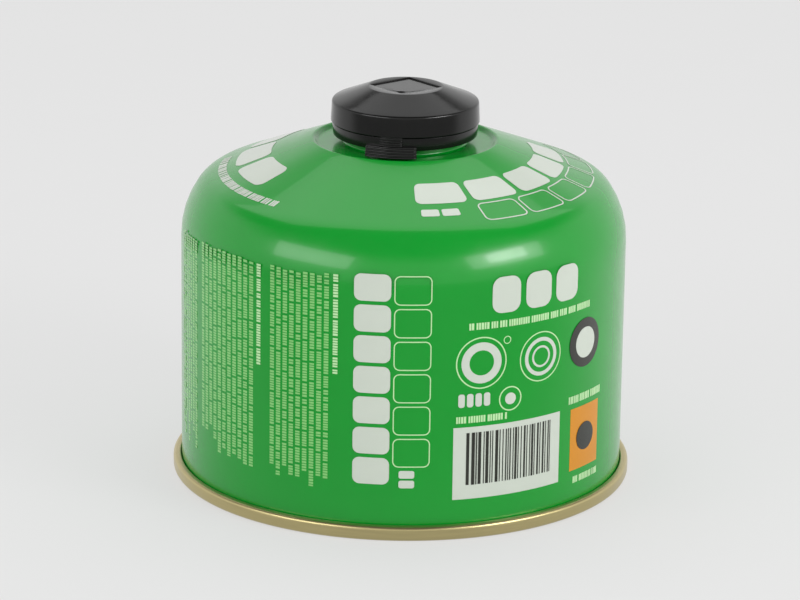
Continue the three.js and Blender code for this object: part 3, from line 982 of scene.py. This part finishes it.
def ribbed_lip(cap, foot, top, width, ribs, low_reach, high_reach):
    """Lip on the skirt with fine ribs across it, rounded off at both ends."""
    outer = cap.inner_radius + cap.wall
    inner = cap.inner_radius + cap.wall / 4
    pitch = (top - foot) / ribs
    groove_depth = 0.25 * MM

    def face(height):
        return outer + low_reach + (high_reach - low_reach) * (height - foot) / (top - foot)

    corners = [(inner, top), (inner, foot)]
    for i in range(ribs):
        base = foot + pitch * i
        crest, groove, end = base + pitch * 0.55, base + pitch * 0.65, base + pitch * 0.92
        corners += [
            (face(base), base, 0.12),
            (face(crest), crest, 0.12),
            (face(groove) - groove_depth, groove, 0.05),
            (face(end) - groove_depth, end, 0.05),
        ]
    bm = bmesh.new()
    section = add_section(bm, outline(corners, True), True)
    reach = outer + low_reach
    half = math.asin(width / 2 / reach)
    start = Matrix.Rotation(cap.tab_azimuth - half, 3, "Z")
    bmesh.ops.rotate(bm, verts=bm.verts, cent=(0, 0, 0), matrix=start)
    wound(bm, section, 2 * half, 56)
    round_off = 0.9 * MM
    for vert in bm.verts:
        flat = vert.co.xy
        turn = (math.atan2(flat.y, flat.x) - cap.tab_azimuth + math.pi) % math.tau - math.pi
        left = max(0, half - abs(turn)) * reach
        share = math.sqrt(1 - (1 - min(1.0, left / round_off)) ** 2)
        radius = inner + (flat.length - inner) * (0.55 + 0.45 * share)
        vert.co.xy = flat.normalized() * radius
    return bm


# Stage

# Lamps: name, azimuth from the viewer's side (right is positive), elevation, distance, width, height, watts
LAMPS = (
    ("softbox_left", -49, 24, 0.95, 0.70, 0.28, 1.9),
    ("softbox_right", 56, 24, 0.95, 0.70, 0.28, 1.9),
    ("softbox_right_core", 56, 25, 0.92, 0.34, 0.17, 1.4),
    ("softbox_above", 180, 62, 1.0, 1.3, 0.7, 2.5),
)


def add_lamp(name, azimuth, elevation, distance, width, height, watts):
    light = bpy.data.lights.new(name, "AREA")
    light.shape = "RECTANGLE"
    light.size, light.size_y, light.energy = width, height, watts
    lamp = add_object(name, light)
    lamp.visible_camera = False
    turn = Matrix.Rotation(math.radians(azimuth), 4, "Z")
    tilt = Matrix.Rotation(math.radians(90 - elevation), 4, "X")
    aim = Matrix.Translation((0, 0, 0.05))
    lamp.matrix_world = aim @ turn @ tilt @ Matrix.Translation((0, 0, distance))


def add_camera(scene):
    """Long lens, 0.9 m in front and 17 degrees down, with the slight lean of the photograph."""
    data = bpy.data.cameras.new("camera")
    data.lens = 176.55
    data.clip_start, data.clip_end = 0.05, 20
    camera = add_object("camera", data)
    pitch, lean, aside = math.radians(90 - 16.995), math.radians(0.8), math.radians(0.042)
    turn = Matrix.Rotation(aside, 4, "Z") @ Matrix.Rotation(pitch, 4, "X") @ Matrix.Rotation(lean, 4, "Z")
    camera.matrix_world = Matrix.Translation((0, -0.9, 0.31635)) @ turn
    scene.camera = camera


def seen_directly(tree):
    """One for rays from the camera, from a reflection or through glass, else zero."""
    path = add_node(tree, "ShaderNodeLightPath")
    first = {0: path.outputs["Is Camera Ray"], 1: path.outputs["Is Glossy Ray"]}
    either = add_node(tree, "ShaderNodeMath", first, operation="MAXIMUM")
    second = {0: either.outputs[0], 1: path.outputs["Is Transmission Ray"]}
    return add_node(tree, "ShaderNodeMath", second, operation="MAXIMUM").outputs[0]


def add_floor(paper):
    """Matt paper that glows a little to the camera, so that it stays pale and keeps the can's shadow."""
    bm = bmesh.new()
    place = Matrix.Translation((0, 0, -0.02 * MM))
    bmesh.ops.create_grid(bm, x_segments=1, y_segments=1, size=6, matrix=place)
    floor = add_object("floor", finished_mesh("floor", bm))
    material, tree, shader = new_material("matt_paper")
    set_shader(shader, Roughness=0.9, Specular_IOR_Level=0.2)
    vary_colour(tree, shader, grain(tree, 40 * MM), tinted(paper, 0.99), tinted(paper, 1.01))
    place = add_node(tree, "ShaderNodeTexCoord").outputs["Object"]
    path = add_node(tree, "ShaderNodeLightPath").outputs
    # Reflections find the floor darker in front of the can than beside and behind it
    depth = add_node(tree, "ShaderNodeSeparateXYZ", {"Vector": place}).outputs["Y"]
    ramp = {"Value": depth, "From Min": -0.14, "From Max": 0.06, "To Min": 0.4, "To Max": 1.0}
    behind = add_node(tree, "ShaderNodeMapRange", ramp, interpolation_type="SMOOTHSTEP").outputs["Result"]
    level = add_node(tree, "ShaderNodeMath", {0: behind, 1: path["Is Camera Ray"]}, operation="MAXIMUM")
    glow = add_node(tree, "ShaderNodeEmission", {"Color": paper, "Strength": level.outputs[0]})
    # Far off, where the lamps don't reach, the glow takes over and meets the surroundings
    distance = add_node(tree, "ShaderNodeVectorMath", {0: place}, operation="LENGTH").outputs["Value"]
    fade = {"Value": distance, "From Min": 0.4, "From Max": 2.0, "To Min": 0.66, "To Max": 1.0}
    near = add_node(tree, "ShaderNodeMapRange", fade).outputs["Result"]
    seen = add_node(tree, "ShaderNodeMath", {0: near, 1: path["Is Glossy Ray"]}, operation="MAXIMUM")
    share = {0: seen_directly(tree), 1: seen.outputs[0]}
    factor = add_node(tree, "ShaderNodeMath", share, operation="MULTIPLY").outputs[0]
    mix = {0: factor, 1: shader.outputs["BSDF"], 2: glow.outputs["Emission"]}
    mixed = add_node(tree, "ShaderNodeMixShader", mix)
    tree.links.new(mixed.outputs["Shader"], tree.nodes["Material Output"].inputs["Surface"])
    floor.data.materials.append(material)


def add_surroundings(scene):
    """Even light all round, with paper-coloured surroundings that fall off overhead in reflections."""
    world = bpy.data.worlds.new("studio")
    world.use_nodes = True
    tree = world.node_tree
    paper = scene.canister_colours.paper
    path = add_node(tree, "ShaderNodeLightPath")
    way = add_node(tree, "ShaderNodeTexCoord").outputs["Object"]
    height = add_node(tree, "ShaderNodeSeparateXYZ", {"Vector": way}).outputs["Z"]
    fall = {"Value": height, "From Min": 0.42, "From Max": 0.62, "To Min": 1.0, "To Max": 0.14}
    dimmed = add_node(tree, "ShaderNodeMapRange", fall).outputs["Result"]
    whole = {0: dimmed, 1: path.outputs["Is Camera Ray"]}
    level = add_node(tree, "ShaderNodeMath", whole, operation="MAXIMUM").outputs[0]
    shown = add_node(tree, "ShaderNodeBackground", {"Color": paper, "Strength": level})
    lit = add_node(tree, "ShaderNodeBackground", {"Color": (1, 1, 1, 1), "Strength": 0.65})
    mix = {0: seen_directly(tree), 1: lit.outputs["Background"], 2: shown.outputs["Background"]}
    mixed = add_node(tree, "ShaderNodeMixShader", mix)
    tree.links.new(mixed.outputs["Shader"], tree.nodes["World Output"].inputs["Surface"])
    scene.world = world
    scene.view_settings.view_transform = "Standard"


# Operators


class CANISTER_OT_stage(bpy.types.Operator):
    """Floor, surroundings, lamps and the camera"""

    bl_idname = "canister.stage"
    bl_label = "Stage"

    def execute(self, context):
        add_floor(context.scene.canister_colours.paper)
        add_surroundings(context.scene)
        for settings in LAMPS:
            add_lamp(*settings)
        add_camera(context.scene)
        return {"FINISHED"}


class CANISTER_OT_can(bpy.types.Operator):
    """Drawn can: wall, shoulder, dome, sunk ring and neck"""

    bl_idname = "canister.can"
    bl_label = "Can body"

    def execute(self, context):
        enamel = enamel_print("green_stoved_enamel", context.scene.canister_colours.enamel)
        bm = turned(body_section(context.scene.can_sizes), CAN_STEPS)
        add_piece("can_shell", bm, enamel, "can", "printed_steel", "can_body")
        return {"FINISHED"}


class CANISTER_OT_end(bpy.types.Operator):
    """Gold-lacquered bottom end with its double seam"""

    bl_idname = "canister.end"
    bl_label = "Bottom end"

    def execute(self, context):
        lacquer = gold_lacquer(context.scene.canister_colours.gold)
        bm = turned(end_section(context.scene.can_sizes), CAN_STEPS)
        add_piece("seamed_end", bm, lacquer, "can", "gold_lacquer", "bottom_end")
        return {"FINISHED"}


class CANISTER_OT_print(bpy.types.Operator):
    """Blocks, rings and strokes printed on the wall and the dome"""

    bl_idname = "canister.print"
    bl_label = "Print"

    def execute(self, context):
        colours = context.scene.canister_colours
        white = enamel_print("white_ink", colours.white_ink)
        fine = enamel_print("fine_print_ink", colours.fine_ink)
        pale = enamel_print("pale_line_ink", colours.line_ink)
        dark = enamel_print("dark_ink", colours.dark_ink)
        orange = enamel_print("orange_ink", colours.orange_ink)
        print_film("print_bold", bold_print(), on_wall, white)
        print_film("print_fine", fine_print(), on_wall, fine)
        print_film("print_lines", line_print(), on_wall, pale)
        print_film("print_panel", orange_panel(), on_wall, orange)
        print_film("print_dark", dark_print(), on_wall, dark, 2)
        print_film("print_badge", badge_print(), on_wall, white, 3)
        print_film("print_dome", dome_print(), on_dome, white)
        return {"FINISHED"}


class CANISTER_OT_valve(bpy.types.Operator):
    """Valve cup with its threaded stud, gaskets, housing, stem and spring"""

    bl_idname = "canister.valve"
    bl_label = "Valve"

    def execute(self, context):
        valve, can = context.scene.valve_sizes, context.scene.can_sizes
        tinplate, acetal, rubber = bright_tinplate(), natural_acetal(), nitrile_rubber()
        cup = turned(cup_section(valve, can), CAP_STEPS, True)
        add_thread(cup, valve)
        add_piece("threaded_cup", cup, tinplate, "can", "tinplate", "valve_cup")
        ring_width = 1.6 * MM
        nose_hole = 1.6 * MM
        ring = washer(cup_gasket_high.x - ring_width, cup_gasket_low, cup_gasket_high)
        add_piece("curl_gasket", ring, rubber, "can", "gasket_rubber", "cup_gasket")
        seal = washer(nose_hole, stem_gasket_low, stem_gasket_high)
        add_piece("nose_gasket", seal, rubber, "can", "gasket_rubber", "stem_gasket")
        housing = turned(housing_section(), VALVE_STEPS, True)
        add_piece("housing_tube", housing, acetal, "can", "acetal", "valve_housing")
        stem = turned(stem_section(), VALVE_STEPS)
        add_piece("stem_pin", stem, acetal, "stem", "acetal", "valve_stem")
        coil = spring_mesh(valve.spring_turns)
        spring = add_piece("coil_spring", coil, spring_wire(), "can", "spring_steel", "valve_spring")
        squash_spring(spring)
        return {"FINISHED"}


class CANISTER_OT_cap(bpy.types.Operator):
    """Snap cap with its recess, hole and ribbed tab"""

    bl_idname = "canister.cap"
    bl_label = "Snap cap"

    def execute(self, context):
        sizes = context.scene.cap_sizes
        plastic = black_polypropylene(context.scene.canister_colours.plastic)
        bm = turned(cap_section(sizes), CAP_STEPS)
        close_top(bm, sizes)
        step = cap_places(sizes)[2]
        lip_top = cap_low.z + sizes.tab_height
        width = sizes.tab_width
        join(bm, ribbed_lip(sizes, cap_low.z, lip_top, width, sizes.tab_ribs, 1.5 * MM, 0.95 * MM))
        join(bm, ribbed_lip(sizes, lip_top, step, width * 0.44, sizes.tab_ribs, 0.6 * MM, 0.3 * MM))
        add_piece("snap_cap", bm, plastic, "cap", "black_plastic", "cap", crease=32)
        return {"FINISHED"}


class CANISTER_PT_panel(bpy.types.Panel):
    """Buttons for the canister's pieces"""

    bl_label = "Canister"
    bl_idname = "CANISTER_PT_panel"
    bl_space_type = "VIEW_3D"
    bl_region_type = "UI"
    bl_category = "Canister"

    def draw(self, context):
        for operator in OPERATORS:
            self.layout.operator(operator.bl_idname)


OPERATORS = (
    CANISTER_OT_stage,
    CANISTER_OT_can,
    CANISTER_OT_end,
    CANISTER_OT_print,
    CANISTER_OT_valve,
    CANISTER_OT_cap,
)
GROUPS = {
    "can_sizes": CanSizes,
    "valve_sizes": ValveSizes,
    "cap_sizes": CapSizes,
    "canister_colours": Colours,
}


def register():
    for name, group in GROUPS.items():
        bpy.utils.register_class(group)
        setattr(bpy.types.Scene, name, bpy.props.PointerProperty(type=group))
    for operator in OPERATORS:
        bpy.utils.register_class(operator)
    bpy.utils.register_class(CANISTER_PT_panel)


def unregister():
    bpy.utils.unregister_class(CANISTER_PT_panel)
    for operator in reversed(OPERATORS):
        bpy.utils.unregister_class(operator)
    for name, group in reversed(GROUPS.items()):
        delattr(bpy.types.Scene, name)
        bpy.utils.unregister_class(group)


def main():
    register()
    bpy.ops.canister.stage()
    bpy.ops.canister.can()
    bpy.ops.canister.end()
    bpy.ops.canister.print()
    bpy.ops.canister.valve()
    bpy.ops.canister.cap()


if __name__ == "__main__":
    main()
